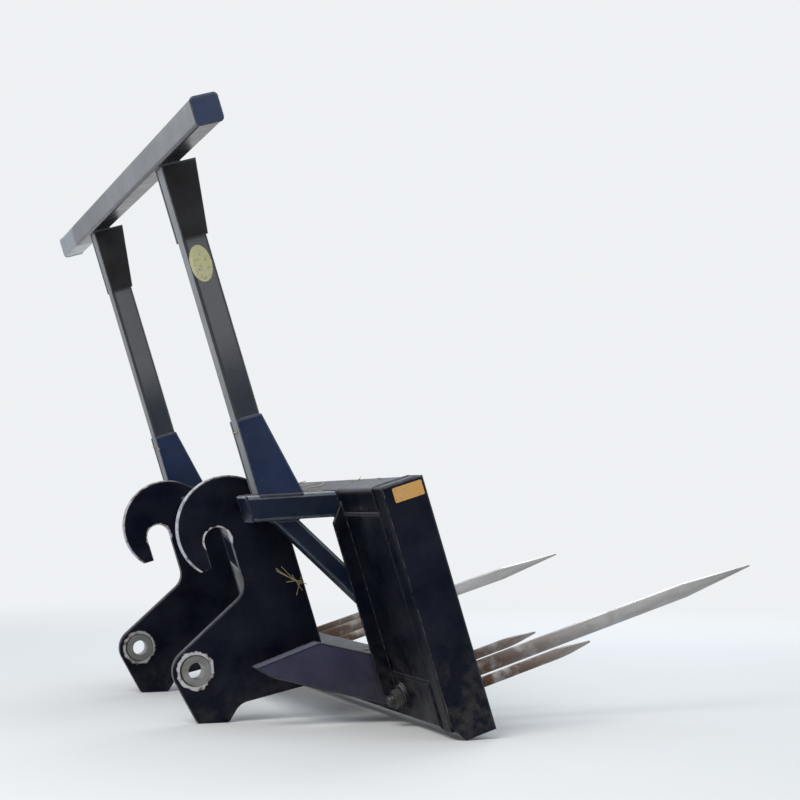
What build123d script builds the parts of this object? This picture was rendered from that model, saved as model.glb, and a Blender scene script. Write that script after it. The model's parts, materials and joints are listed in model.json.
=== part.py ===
from build123d import *
from math import acos, atan2, cos, degrees, hypot, radians, sin, tan
import os

# Double bale spear for a wheel loader: a welded frame of tubes and plates that hangs on the
# loader's coupler by two hook plates and two lock pins, a face with spears below, and a rack above.
# Lengths are in millimetres. The pieces are drawn with the face upright: X points forward along
# the spears, Y to the left, Z up, and Z = 0 is the underside of the lower rail.
# The set parks leaning back on its hook plates, and each piece is moved to that pose at the end.

# Face: two rails between two outer uprights with end plates, two inner uprights and two back plates
face_back = 200
face_depth = 130
face_half = 1100
face_height = 740
lower_rail_height = 150
upper_rail_height = 80
outer_upright_width = 80
inner_upright_width = 120
rail_wall = 8
rail_corner = 14
wing_plate_thickness = 10
end_cap_thickness = 6
end_plate_thickness = 10
end_plate_foot = (232, -32)
end_plate_heel = 20
flange_reach = 45
flange_low = 45
flange_corner_drop = 95
flange_top_drop = 37

# Side frames: a sloping top arm, a brace and a tapered lower arm on each side
side_y = 620
arm_width = 100
arm_height = 80
arm_wall = 6
arm_corner = 10
arm_slope = 14
arm_rear = -80
arm_head_drop = 3.9
brace_size = 60
brace_wall = 5
brace_corner = 8
brace_head_x = -5
brace_foot_z = 395
lower_arm_width = 60
lower_arm_wall = 8
lower_arm_front_low = 28
lower_arm_front_high = 191
lower_arm_knee = (15, 301)
lower_arm_tail_high = (-195, 292)
lower_arm_tail_low = (-150, 244)

# Rack: two posts, a crossbar, and tapered plates at the head and foot of each post
post_size = 80
post_wall = 5
post_corner = 14
bar_size = 80
bar_wall = 5
bar_corner = 12
bar_half = 1220
bar_x = -15
bar_bottom = 1844
rack_plate_thickness = 8
head_plate_depth = 234
head_plate_reach = 30
foot_plate_top = 1035
foot_plate_reach = 58

# Hook plates that carry the set on the loader's coupler, their heads level with the face's top
hook_y = 460
hook_thickness = 25
hook_centre = (-115, face_height - 25)
hook_radius = 165
seat_centre = (-160, face_height - 55)
seat_radius = 43
lip_bottom = face_height - 134
throat_bottom = face_height - 195
throat_sill = 40
hook_front = 70
hook_front_top = face_height + 60
hook_front_low = 150
hook_belly = (-240, 175)
foot_front_x = -290
foot_rear = (-385, 161)
foot_corner = 12
pin_centre = (-345, 320)
pin_radius = 26
bushing_radius = 46
bushing_length = 55
boss_radius = 72
throat_corner = 60
belly_corner = 60
front_corner = 30

# Cross tubes between the hook plates and out to the side frames
cross_size = 80
cross_wall = 8
cross_corner = 10
upper_cross_x = -10
lower_cross = (-20, 235)

# Spears: a shank with a conical seat in a sleeve through the lower rail, and a nut behind
spear_y = 750
spear_z = 75
spear_radius = 24
spear_reach = 1150
spear_point = 260
shank_radius = 16.5
shank_end = 44
seat_length = 24
sleeve_radius = 38
sleeve_gap = 0.2
sleeve_stand = 12
nut_height = 27
nut_corner_radius = 31

# Stabilisers: short pins with a collar and a point ground on four sides, welded to the lower rail
stabiliser_radius = 16
stabiliser_reach = 430
stabiliser_point = 120
collar_radius = 26
collar_length = 14
tip_radius = 3
# name, distance from the centre plane
stabilisers = [("stabiliser_inner", 550), ("stabiliser_outer", 950)]

# The parked lean: the end plates' feet and the hook plates' feet stand on the floor
lean = degrees(atan2(foot_rear[1] - end_plate_foot[1], end_plate_foot[0] - foot_rear[0]))
sides = [("left", 1), ("right", -1)]
face_front = face_back + face_depth
upright_outer = face_half - end_plate_thickness
upright_y = upright_outer - outer_upright_width / 2
rail_half = upright_outer - outer_upright_width


def arm_top(x):
    """Height of the top arms' upper face at x."""
    return face_height - arm_head_drop + (face_back - x) * tan(radians(arm_slope))


def arm_middle(x):
    """Height of the top arms' centre line at x."""
    return arm_top(x) - arm_height / 2 / cos(radians(arm_slope))


def floor_line(x):
    """Height at x of the floor that the parked set stands on."""
    return end_plate_foot[1] + (end_plate_foot[0] - x) * tan(radians(lean))


def side_plane(y):
    """A plane that shows the set from its right side: local x is X, local y is Z."""
    return Plane(origin=(0, y, 0), x_dir=(1, 0, 0), z_dir=(0, -1, 0))


def cross_plane(x, y, z, slope=0):
    """A plane at one end of a tube that runs along +Y, its section turned down by slope."""
    turn = radians(slope)
    return Plane(origin=(x, y, z), x_dir=(cos(turn), 0, -sin(turn)), z_dir=(0, 1, 0))


def tangent_point(centre, radius, point, turn):
    """Where a line from a point touches a circle: on its left side for turn 1, its right for -1."""
    across, up = point[0] - centre[0], point[1] - centre[1]
    angle = atan2(up, across) + turn * acos(radius / hypot(across, up))
    return (centre[0] + radius * cos(angle), centre[1] + radius * sin(angle))


def tube_section(width, height, wall, corner):
    """The section of a rolled tube, in the sketch that is open."""
    RectangleRounded(width, height, corner)
    Rectangle(width - 2 * wall, height - 2 * wall, mode=Mode.SUBTRACT)


pieces = {}


def keep(name, part):
    """Files a finished piece under the name of its node."""
    pieces[name] = part


# Rails of the face
with BuildPart() as lower_rail:
    with BuildSketch(cross_plane(face_back + face_depth / 2, -rail_half, lower_rail_height / 2)):
        tube_section(face_depth, lower_rail_height, rail_wall, rail_corner)
    extrude(amount=2 * rail_half)
    with BuildSketch(Plane.YZ.offset(face_back)):
        with Locations((spear_y, spear_z), (-spear_y, spear_z)):
            Circle(sleeve_radius)
    extrude(amount=face_depth, mode=Mode.SUBTRACT)
keep("lower_rail", lower_rail.part)

with BuildPart() as upper_rail:
    height = face_height - upper_rail_height / 2
    with BuildSketch(cross_plane(face_back + face_depth / 2, -rail_half, height)):
        tube_section(face_depth, upper_rail_height, rail_wall, rail_corner)
    extrude(amount=2 * rail_half)
keep("upper_rail", upper_rail.part)

# Uprights, their caps, the end plates and the plates that back the wings
for side, sign in sides:
    with BuildPart() as outer_upright:
        with BuildSketch(Plane.XY):
            with Locations((face_back + face_depth / 2, sign * upright_y)):
                tube_section(face_depth, outer_upright_width, rail_wall, rail_corner)
        extrude(amount=face_height)
    keep(f"outer_upright_{side}", outer_upright.part)

    with BuildPart() as end_plate:
        with BuildSketch(side_plane(sign * (upright_outer + end_plate_thickness / 2))):
            with BuildLine():
                Polyline(
                    (face_back, face_height),
                    (face_back, end_plate_heel),
                    end_plate_foot,
                    (face_front, end_plate_foot[1]),
                    (face_front, face_height),
                    close=True,
                )
            make_face()
        extrude(amount=end_plate_thickness / 2, both=True)
    keep(f"end_plate_{side}", end_plate.part)

    with BuildPart() as inner_upright:
        with BuildSketch(Plane.XY.offset(lower_rail_height)):
            with Locations((face_back + face_depth / 2, sign * side_y)):
                tube_section(face_depth, inner_upright_width, rail_wall, rail_corner)
        extrude(amount=face_height - lower_rail_height - upper_rail_height)
    keep(f"inner_upright_{side}", inner_upright.part)

    # A bent sheet: it closes the wing and turns back in a flange beside the arms
    with BuildPart() as wing_plate:
        inner = side_y + inner_upright_width / 2
        top = face_height - upper_rail_height
        with BuildSketch(Plane.YZ.offset(face_back)):
            with Locations((sign * (inner + rail_half) / 2, (lower_rail_height + top) / 2)):
                Rectangle(rail_half - inner, top - lower_rail_height)
        extrude(amount=wing_plate_thickness)
        with BuildSketch(side_plane(sign * (inner + wing_plate_thickness / 2))):
            with BuildLine():
                Polyline(
                    (face_back, flange_low),
                    (face_back - flange_reach, flange_low + flange_reach),
                    (face_back - flange_reach, face_height - flange_corner_drop),
                    (face_back, face_height - flange_top_drop),
                    (face_back, top),
                    (face_back + wing_plate_thickness, top),
                    (face_back + wing_plate_thickness, lower_rail_height),
                    (face_back, lower_rail_height),
                    close=True,
                )
            make_face()
        extrude(amount=wing_plate_thickness / 2, both=True)
    keep(f"wing_plate_{side}", wing_plate.part)

# The outer uprights' caps are let in flush at both ends
with BuildPart() as upright_caps:
    for base in (0, face_height - end_cap_thickness):
        with BuildSketch(Plane.XY.offset(base)):
            for _, sign in sides:
                with Locations((face_back + face_depth / 2, sign * upright_y)):
                    Rectangle(face_depth - 2 * rail_wall, outer_upright_width - 2 * rail_wall)
        extrude(amount=end_cap_thickness)
keep("upright_caps", upright_caps.part)

# Side frames
for side, sign in sides:
    y = sign * side_y
    with BuildPart() as top_arm:
        slope = radians(arm_slope)
        start = arm_rear - arm_height
        along = (cos(slope), 0, -sin(slope))
        with BuildSketch(Plane(origin=(start, y, arm_middle(start)), x_dir=(0, 1, 0), z_dir=along)):
            tube_section(arm_width, arm_height, arm_wall, arm_corner)
        extrude(amount=(face_front - start) / cos(slope))
        split(bisect_by=Plane.YZ.offset(arm_rear), keep=Keep.TOP)
        split(bisect_by=Plane.YZ.offset(face_back), keep=Keep.BOTTOM)
        with BuildSketch(Plane.YZ.offset(arm_rear - end_cap_thickness)):
            with Locations((y, arm_middle(arm_rear))):
                Rectangle(arm_width, arm_height / cos(slope))
        extrude(amount=end_cap_thickness)
    keep(f"top_arm_{side}", top_arm.part)

    with BuildPart() as brace:
        head = Vector(brace_head_x, y, arm_middle(brace_head_x))
        foot = Vector(face_back, y, brace_foot_z)
        run = foot - head
        with BuildSketch(Plane(origin=head, x_dir=(0, 1, 0), z_dir=run)):
            tube_section(brace_size, brace_size, brace_wall, brace_corner)
        extrude(amount=run.length + brace_size)
        split(bisect_by=Plane.YZ.offset(face_back), keep=Keep.BOTTOM)
        under_arm = Plane(
            origin=(0, y, arm_top(0) - arm_height / cos(radians(arm_slope))),
            z_dir=(sin(radians(arm_slope)), 0, cos(radians(arm_slope))),
        )
        split(bisect_by=under_arm, keep=Keep.BOTTOM)
    keep(f"brace_{side}", brace.part)

    with BuildPart() as lower_arm:
        with BuildSketch(side_plane(y)):
            with BuildLine():
                Polyline(
                    (face_back, lower_arm_front_low),
                    (face_back, lower_arm_front_high),
                    lower_arm_knee,
                    lower_arm_tail_high,
                    lower_arm_tail_low,
                    close=True,
                )
            make_face()
        extrude(amount=lower_arm_width / 2, both=True)
        with BuildSketch(side_plane(y)) as hollow:
            with BuildLine():
                Polyline(
                    (face_back, lower_arm_front_low),
                    (face_back, lower_arm_front_high),
                    lower_arm_knee,
                    lower_arm_tail_high,
                    lower_arm_tail_low,
                    close=True,
                )
            make_face()
            offset(amount=-lower_arm_wall)
        extrude(amount=lower_arm_width / 2 - lower_arm_wall, both=True, mode=Mode.SUBTRACT)
    keep(f"lower_arm_{side}", lower_arm.part)

# Hook plates with the bushings of the lock pins
for side, sign in sides:
    y = sign * hook_y
    with BuildPart() as hook_plate:
        throat_front = (seat_centre[0] + seat_radius, throat_bottom - throat_sill)
        foot_front = (foot_front_x, floor_line(foot_front_x))
        with BuildSketch(side_plane(y)) as outline:
            with BuildLine():
                Polyline(
                    (hook_centre[0], hook_centre[1] + hook_radius),
                    (hook_front, hook_front_top),
                    (hook_front, hook_front_low),
                    hook_belly,
                    foot_front,
                    foot_rear,
                    tangent_point(pin_centre, boss_radius, foot_rear, -1),
                    pin_centre,
                    tangent_point(pin_centre, boss_radius, throat_front, 1),
                    throat_front,
                    (throat_front[0], hook_centre[1]),
                    close=True,
                )
            make_face()
            corners = [
                (throat_front, throat_corner),
                (hook_belly, belly_corner),
                (foot_front, foot_corner),
                (foot_rear, foot_corner),
                ((hook_front, hook_front_low), front_corner),
                ((hook_front, hook_front_top), front_corner),
            ]
            for corner, radius in corners:
                fillet(outline.vertices().sort_by_distance(Vector(*corner))[0], radius)
            with Locations(hook_centre):
                Circle(hook_radius)
            with Locations(pin_centre):
                Circle(boss_radius)
            with Locations(seat_centre):
                Circle(seat_radius, mode=Mode.SUBTRACT)
            with Locations((seat_centre[0], (seat_centre[1] + throat_bottom) / 2)):
                Rectangle(2 * seat_radius, seat_centre[1] - throat_bottom, mode=Mode.SUBTRACT)
            with Locations((seat_centre[0] - 2 * seat_radius, (lip_bottom + throat_bottom) / 2)):
                Rectangle(2 * seat_radius, lip_bottom - throat_bottom, mode=Mode.SUBTRACT)
            with Locations(pin_centre):
                Circle(bushing_radius, mode=Mode.SUBTRACT)
        extrude(amount=hook_thickness / 2, both=True)
    keep(f"hook_plate_{side}", hook_plate.part)

    with BuildPart() as pin_bushing:
        with BuildSketch(side_plane(y)):
            with Locations(pin_centre):
                Circle(bushing_radius)
                Circle(pin_radius, mode=Mode.SUBTRACT)
        extrude(amount=bushing_length / 2, both=True)
    keep(f"pin_bushing_{side}", pin_bushing.part)

# Cross tubes: a length between the hook plates and a stub to each side frame
hook_inner = hook_y - hook_thickness / 2
hook_outer = hook_y + hook_thickness / 2
cross_tubes = [
    ("upper_cross_tube", upper_cross_x, arm_middle(upper_cross_x), arm_slope, arm_width),
    ("lower_cross_tube", lower_cross[0], lower_cross[1], 0, lower_arm_width),
]
for name, x, z, slope, side_width in cross_tubes:
    end = side_y - side_width / 2
    with BuildPart() as cross_tube:
        for start, stop in ((-end, -hook_outer), (-hook_inner, hook_inner), (hook_outer, end)):
            with BuildSketch(cross_plane(x, start, z, slope)):
                tube_section(cross_size, cross_size, cross_wall, cross_corner)
            extrude(amount=stop - start)
    keep(name, cross_tube.part)

# Rack
for side, sign in sides:
    y = sign * side_y
    with BuildPart() as rack_post:
        with BuildSketch(Plane.XY.offset(face_height)):
            with Locations((0, y)):
                tube_section(post_size, post_size, post_wall, post_corner)
        extrude(amount=bar_bottom - face_height)
        arm_face = Plane(
            origin=(0, y, arm_top(0)),
            z_dir=(sin(radians(arm_slope)), 0, cos(radians(arm_slope))),
        )
        split(bisect_by=arm_face, keep=Keep.TOP)
        with BuildSketch(Plane.XY.offset(bar_bottom - end_cap_thickness)):
            with Locations((0, y)):
                Rectangle(post_size - 2 * post_wall, post_size - 2 * post_wall)
        extrude(amount=end_cap_thickness)
    keep(f"rack_post_{side}", rack_post.part)

    back = -post_size / 2
    front = post_size / 2
    head_outline = [
        (back, bar_bottom),
        (front + head_plate_reach, bar_bottom),
        (front, bar_bottom - head_plate_depth),
        (back, bar_bottom - head_plate_depth),
    ]
    foot_outline = [
        (back, arm_top(back)),
        (front + foot_plate_reach, arm_top(front + foot_plate_reach)),
        (front, foot_plate_top),
        (back, foot_plate_top),
    ]
    for name, outline in (("head", head_outline), ("foot", foot_outline)):
        with BuildPart() as rack_plates:
            for face in (y - post_size / 2, y + post_size / 2 + rack_plate_thickness):
                with BuildSketch(side_plane(face)):
                    with BuildLine():
                        Polyline(*outline, close=True)
                    make_face()
                extrude(amount=rack_plate_thickness)
        keep(f"{name}_plates_{side}", rack_plates.part)

with BuildPart() as crossbar:
    half = bar_half - end_cap_thickness
    with BuildSketch(cross_plane(bar_x, -half, bar_bottom + bar_size / 2)):
        tube_section(bar_size, bar_size, bar_wall, bar_corner)
    extrude(amount=2 * half)
keep("crossbar", crossbar.part)

with BuildPart() as crossbar_caps:
    for start in (-bar_half, bar_half - end_cap_thickness):
        with BuildSketch(cross_plane(bar_x, start, bar_bottom + bar_size / 2)):
            RectangleRounded(bar_size, bar_size, bar_corner)
        extrude(amount=end_cap_thickness)
keep("crossbar_caps", crossbar_caps.part)

# Spears with their sleeves and nuts, and the stabilisers beside them
sleeve_back = face_back - sleeve_stand
sleeve_front = face_front + sleeve_stand
sleeve_parts = []
nut_parts = []
for side, sign in sides:
    axis = Axis((0, sign * spear_y, spear_z), (1, 0, 0))
    drawing = Plane(origin=(0, sign * spear_y, spear_z), x_dir=(1, 0, 0), z_dir=(0, -1, 0))
    with BuildPart() as spear:
        with BuildSketch(drawing):
            with BuildLine():
                Polyline(
                    (sleeve_back - shank_end, 0),
                    (sleeve_back - shank_end, shank_radius),
                    (sleeve_front - seat_length, shank_radius),
                    (sleeve_front, spear_radius),
                    (sleeve_front + spear_reach - spear_point, spear_radius),
                    (sleeve_front + spear_reach, tip_radius),
                    (sleeve_front + spear_reach, 0),
                    close=True,
                )
            make_face()
        revolve(axis=axis)
    keep(f"spear_{side}", spear.part)

    with BuildPart() as sleeve:
        with BuildSketch(drawing):
            with BuildLine():
                Polyline(
                    (sleeve_back, shank_radius + sleeve_gap),
                    (sleeve_back, sleeve_radius),
                    (sleeve_front, sleeve_radius),
                    (sleeve_front, spear_radius + sleeve_gap),
                    (sleeve_front - seat_length, shank_radius + sleeve_gap),
                    close=True,
                )
            make_face()
        revolve(axis=axis)
    sleeve_parts.append(sleeve.part)

    with BuildPart() as nut:
        with BuildSketch(Plane.YZ.offset(sleeve_back - nut_height)):
            with Locations((sign * spear_y, spear_z)):
                RegularPolygon(nut_corner_radius, 6)
                Circle(shank_radius + sleeve_gap, mode=Mode.SUBTRACT)
        extrude(amount=nut_height)
    nut_parts.append(nut.part)

    for name, y in stabilisers:
        with BuildPart() as stabiliser:
            with BuildSketch(Plane.YZ.offset(face_front)):
                with Locations((sign * y, spear_z)):
                    Circle(collar_radius)
            extrude(amount=collar_length)
            with BuildSketch(Plane.YZ.offset(face_front + collar_length)):
                with Locations((sign * y, spear_z)):
                    Circle(stabiliser_radius)
            extrude(amount=stabiliser_reach - collar_length)
            for turn in range(4):
                across = Vector(0, cos(radians(90 * turn)), sin(radians(90 * turn)))
                tip = Vector(face_front + stabiliser_reach, sign * y, spear_z) + across * tip_radius
                facing = Vector(stabiliser_radius - tip_radius, 0, 0) + across * stabiliser_point
                split(bisect_by=Plane(origin=tip, z_dir=facing), keep=Keep.BOTTOM)
        keep(f"{name}_{side}", stabiliser.part)
keep("spear_sleeves", Compound(children=sleeve_parts))
keep("spear_nuts", Compound(children=nut_parts))

# Park the set: lean it back and set the origin on the floor under the middle of its box
leaned = {name: piece.moved(Rotation(0, -lean, 0)) for name, piece in pieces.items()}
boxes = [piece.bounding_box() for piece in leaned.values()]
middle_x = (min(box.min.X for box in boxes) + max(box.max.X for box in boxes)) / 2
floor_z = min(box.min.Z for box in boxes)
os.makedirs("parts", exist_ok=True)
for name, piece in leaned.items():
    parked = piece.moved(Location((-middle_x, 0, -floor_z)))
    parked.label = name
    export_step(parked, f"parts/{name}.step")
print(f"lean {lean:.2f} degrees, origin at x {middle_x:.3f}, z {floor_z:.3f} of the leaned set")
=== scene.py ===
import json
import random
from math import atan2, cos, radians, sin, sqrt, tan, tau

import bmesh
import bpy
from mathutils import Matrix, Vector


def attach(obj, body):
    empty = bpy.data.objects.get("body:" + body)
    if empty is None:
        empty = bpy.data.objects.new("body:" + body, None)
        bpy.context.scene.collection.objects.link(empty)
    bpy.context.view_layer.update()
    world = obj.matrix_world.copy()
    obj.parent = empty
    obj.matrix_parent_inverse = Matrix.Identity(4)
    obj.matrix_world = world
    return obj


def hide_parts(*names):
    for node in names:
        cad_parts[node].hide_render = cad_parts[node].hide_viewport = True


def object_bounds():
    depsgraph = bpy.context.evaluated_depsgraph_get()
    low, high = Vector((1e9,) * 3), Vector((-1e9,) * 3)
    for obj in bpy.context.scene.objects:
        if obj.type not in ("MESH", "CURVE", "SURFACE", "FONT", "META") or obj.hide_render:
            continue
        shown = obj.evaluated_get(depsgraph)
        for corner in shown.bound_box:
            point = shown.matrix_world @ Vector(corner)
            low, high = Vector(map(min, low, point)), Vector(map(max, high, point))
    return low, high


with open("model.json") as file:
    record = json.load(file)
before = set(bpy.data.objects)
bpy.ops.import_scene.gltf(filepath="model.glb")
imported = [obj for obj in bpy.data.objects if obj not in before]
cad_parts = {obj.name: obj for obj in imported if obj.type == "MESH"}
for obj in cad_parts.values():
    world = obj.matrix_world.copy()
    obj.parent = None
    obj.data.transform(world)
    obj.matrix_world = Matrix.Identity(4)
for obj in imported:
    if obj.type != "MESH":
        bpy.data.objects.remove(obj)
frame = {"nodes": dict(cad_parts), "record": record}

cad_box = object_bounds()

# Sizes in the set's upright frame, in millimetres: X forward along the spears, Y across, Z up from
# the lower rail's underside
FACE_BACK = 200
FACE_FRONT = 330
FACE_MIDDLE = (FACE_BACK + FACE_FRONT) / 2
FACE_DEPTH = FACE_FRONT - FACE_BACK
FACE_HEIGHT = 740
LOWER_RAIL = 150
UPPER_RAIL = 80
UPPER_RAIL_LOW = 660
UPPER_RAIL_MIDDLE = 700
RAIL_CORNER = 14
RAIL_HALF = 1010
UPRIGHT_OUTER = 1090
UPRIGHT_MIDDLE = 1050
UPRIGHT_CAP = (114, 64, 3)
END_FACE = 1100
SIDE_Y = 620
INNER_UPRIGHT_HALF = 60
WING_INNER = SIDE_Y + 70
WING_FACES = (FACE_BACK + 3, FACE_BACK + 11)
ARM_HALF = 50
ARM_HEIGHT = 80
ARM_CORNER = 8
ARM_SLOPE = radians(14)
ARM_UPRIGHT_HEIGHT = ARM_HEIGHT / cos(ARM_SLOPE)
ARM_REAR = -80
ARM_HEAD_DROP = 3.9
BRACE_HEAD_X = -5
BRACE_FOOT_Z = 395
BRACE_HALF = 30
LOWER_ARM = [(200, 191), (15, 301), (-195, 292), (-150, 244), (200, 28)]
LOWER_ARM_HALF = 30
HOOK_FACES = (447.5, 472.5)
SEAT_CENTRE = (-160, 685)
SEAT_RADIUS = 43
RIM_CENTRE = (-115, 715)
PIN_CENTRE = (-345, 320)
BUSHING_RADIUS = 46
CROSS_SIZE = 80
CROSS_CORNER = 10
UPPER_CROSS_X = -10
LOWER_CROSS = (-20, 235)
POST_HALF = 40
POST_CORNER = 14
PLATE_OUTER = 48
HEAD_PLATE_LOW = 1610
HEAD_PLATE_FRONT = 20
FOOT_PLATE_TOP = 1035
FOOT_PLATE_FRONT = 98
BAR_X = -15
BAR_SIZE = 80
BAR_CORNER = 12
BAR_BOTTOM = 1844
BAR_MIDDLE = 1884
CAP_SEAM = 1214
SPEAR_Y = 750
SPEAR_Z = 75
SLEEVE_RADIUS = 38
SLEEVE_BACK = 188
SHANK_RADIUS = 16.5
SHANK_END = 144
NUT_HEIGHT = 27
NUT_CORNER_RADIUS = 31
STABILISERS = (550, 950)
STABILISER_RADIUS = 16
COLLAR_RADIUS = 26
COLLAR_LENGTH = 14

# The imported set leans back; its face mount says how far and where it stands, in metres
MM = 0.001
face_mount = {m["name"]: m for m in frame["record"]["mounts"]}["bale_face"]
LEAN = atan2(face_mount["axis"][2], face_mount["axis"][0])
lean_back = Matrix.Rotation(-LEAN, 4, "Y")
face_point = lean_back @ Vector((FACE_FRONT * MM, 0, UPPER_RAIL_MIDDLE * MM))
PARKED = Matrix.Translation(Vector(face_mount["pos_m"]) - face_point) @ lean_back
UPRIGHT = PARKED.inverted()
FLOOR_Z = cad_box[0].z

ACROSS = Vector((0, 1, 0))
FORWARD = Vector((1, 0, 0))
UP = Vector((0, 0, 1))
OFF_ARM = Vector((sin(ARM_SLOPE), 0, cos(ARM_SLOPE)))


def parked(point):
    """A point of the upright frame, in millimetres, on the parked set in metres."""
    return PARKED @ (Vector(point) * MM)


def arm_top(x):
    """Height of the top arms' upper face at x, in millimetres."""
    return FACE_HEIGHT - ARM_HEAD_DROP + (FACE_BACK - x) * tan(ARM_SLOPE)


# Node trees


def rgba(colour):
    return colour if isinstance(colour, bpy.types.NodeSocket) else (*colour, 1)


class Nodes:
    """A node tree. A value is a number, a vector, a colour or the output socket of another node."""

    def __init__(self, tree):
        self.tree = tree
        tree.nodes.clear()

    def feed(self, socket, value):
        if isinstance(value, bpy.types.NodeSocket):
            self.tree.links.new(value, socket)
        else:
            socket.default_value = value

    def add(self, kind, **values):
        """A node with its settings and its named inputs, with _ for a space in a name."""
        node = self.tree.nodes.new(kind)
        for key, value in values.items():
            if hasattr(node, key):
                setattr(node, key, value)
            else:
                self.feed(node.inputs[key.replace("_", " ")], value)
        return node

    def math(self, operation, *values, clamp=False):
        node = self.add("ShaderNodeMath", operation=operation, use_clamp=clamp)
        for socket, value in zip(node.inputs, values):
            self.feed(socket, value)
        return node.outputs["Value"]

    def product(self, first, *others):
        for value in others:
            first = self.math("MULTIPLY", first, value)
        return first

    def vector_math(self, operation, *values):
        node = self.add("ShaderNodeVectorMath", operation=operation)
        for socket, value in zip(node.inputs, values):
            self.feed(socket, value)
        return node.outputs["Value" if operation in ("LENGTH", "DOT_PRODUCT") else "Vector"]

    def part(self, vector, axis):
        return self.add("ShaderNodeSeparateXYZ", Vector=vector).outputs[axis]

    def ramp(self, value, low, high, smooth=True):
        """0 at low and 1 at high, which may be the lower of the two."""
        node = self.add(
            "ShaderNodeMapRange", clamp=True, Value=value,
            interpolation_type="SMOOTHSTEP" if smooth else "LINEAR",
            From_Min=min(low, high), From_Max=max(low, high),
            To_Min=0.0 if low < high else 1.0, To_Max=1.0 if low < high else 0.0,
        )
        return node.outputs["Result"]

    def mix(self, mask, under, over):
        """Two colours mixed by a mask. A Mix node's colours are inputs 6 and 7 and output 2."""
        node = self.add("ShaderNodeMix", data_type="RGBA", Factor=mask)
        self.feed(node.inputs[6], rgba(under))
        self.feed(node.inputs[7], rgba(over))
        return node.outputs[2]

    def upright(self, vector):
        """A direction of the parked set in the upright frame."""
        turn = self.add("ShaderNodeVectorRotate", rotation_type="Y_AXIS", Angle=LEAN, Vector=vector)
        return turn.outputs["Vector"]

    def place(self):
        """The shaded point in the upright frame, in metres."""
        point = self.add("ShaderNodeTexCoord").outputs["Object"]
        return self.vector_math("ADD", self.upright(point), UPRIGHT.translation)

    def along(self, axis, low, high):
        """A ramp along one axis of the upright frame, in metres."""
        return self.ramp(self.part(self.place(), axis), low, high)

    def distance(self, centre):
        """Distance in metres from a line across the set through (x, z), given in millimetres."""
        x, z = centre
        from_centre = self.vector_math("SUBTRACT", self.place(), (x * MM, 0, z * MM))
        return self.vector_math("LENGTH", self.vector_math("MULTIPLY", from_centre, (1, 0, 1)))

    def noise(self, seed, scale, low, high, detail=6.0, roughness=0.6, stretch=(1, 1, 1)):
        """A noise in the upright frame, cut to 0 at low and 1 at high."""
        moved = (seed, seed * 0.7, seed * 1.3)
        spread = self.add("ShaderNodeMapping", Vector=self.place(), Scale=stretch, Location=moved)
        grain = self.add(
            "ShaderNodeTexNoise", Vector=spread.outputs["Vector"], Scale=scale, Detail=detail,
            Roughness=roughness,
        )
        return self.ramp(grain.outputs["Fac"], low, high, smooth=False)

    def normal(self):
        return self.add("ShaderNodeNewGeometry").outputs["Normal"]

    def rounded(self, radius, samples=6):
        """The normal as if the edges were rounded."""
        return self.add("ShaderNodeBevel", samples=samples, Radius=radius).outputs["Normal"]

    def bump(self, height, strength, distance, normal=None):
        values = {"Normal": normal} if normal else {}
        node = self.add(
            "ShaderNodeBump", Height=height, Strength=strength, Distance=distance, **values
        )
        return node.outputs["Normal"]

    def edges(self):
        """1 along outer edges, where the rounded normal leaves the true one."""
        facing = self.vector_math("DOT_PRODUCT", self.rounded(0.004), self.normal())
        return self.ramp(facing, 0.985, 0.80, smooth=False)

    def upper_edges(self):
        """1 just below upper edges, where the rounded normal looks further up than the true one."""
        turned = self.vector_math("SUBTRACT", self.rounded(0.011), self.normal())
        return self.ramp(self.part(turned, "Z"), 0.04, 0.20)

    def tops(self):
        """1 where a surface faces the sky."""
        return self.ramp(self.part(self.normal(), "Z"), 0.34, 0.85, smooth=False)

    def faces(self, axis):
        """1 on faces that look back at the loader (X) or down (Z) in the upright frame."""
        return self.ramp(self.part(self.upright(self.normal()), axis), -0.90, -0.99)

    def flats(self):
        """1 on faces square to the upright frame, 0 on the rounded corners between them."""
        size = self.vector_math("ABSOLUTE", self.upright(self.normal()))
        x, y, z = (self.part(size, axis) for axis in "XYZ")
        return self.ramp(self.math("MAXIMUM", self.math("MAXIMUM", x, y), z), 0.90, 0.995)

    def backdrop_rays(self):
        """1 for rays that show the background: seen straight, mirrored, or through glass."""
        path = self.add("ShaderNodeLightPath").outputs
        mirrored = self.math("MAXIMUM", path["Is Camera Ray"], path["Is Glossy Ray"])
        return self.math("MAXIMUM", mirrored, path["Is Transmission Ray"])

    def blend(self, mask, under, over):
        """Two shaders mixed by a mask."""
        node = self.add("ShaderNodeMixShader", Fac=mask)
        self.feed(node.inputs[1], under)
        self.feed(node.inputs[2], over)
        return node.outputs["Shader"]


def new_material(name, **values):
    """A material with a Principled shader that has the given inputs."""
    material = bpy.data.materials.new(name)
    material.use_nodes = True
    nodes = Nodes(material.node_tree)
    shader = nodes.add("ShaderNodeBsdfPrincipled", **values)
    nodes.add("ShaderNodeOutputMaterial", Surface=shader.outputs["BSDF"])
    return material, nodes, shader


def finish_shader(nodes, shader, colour, roughness, metallic=None, normal=None):
    """Links what varies over the surface to the shader."""
    found = {"Base Color": colour, "Roughness": roughness, "Metallic": metallic, "Normal": normal}
    for socket, value in found.items():
        if value:
            nodes.feed(shader.inputs[socket], value)


# Materials

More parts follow.
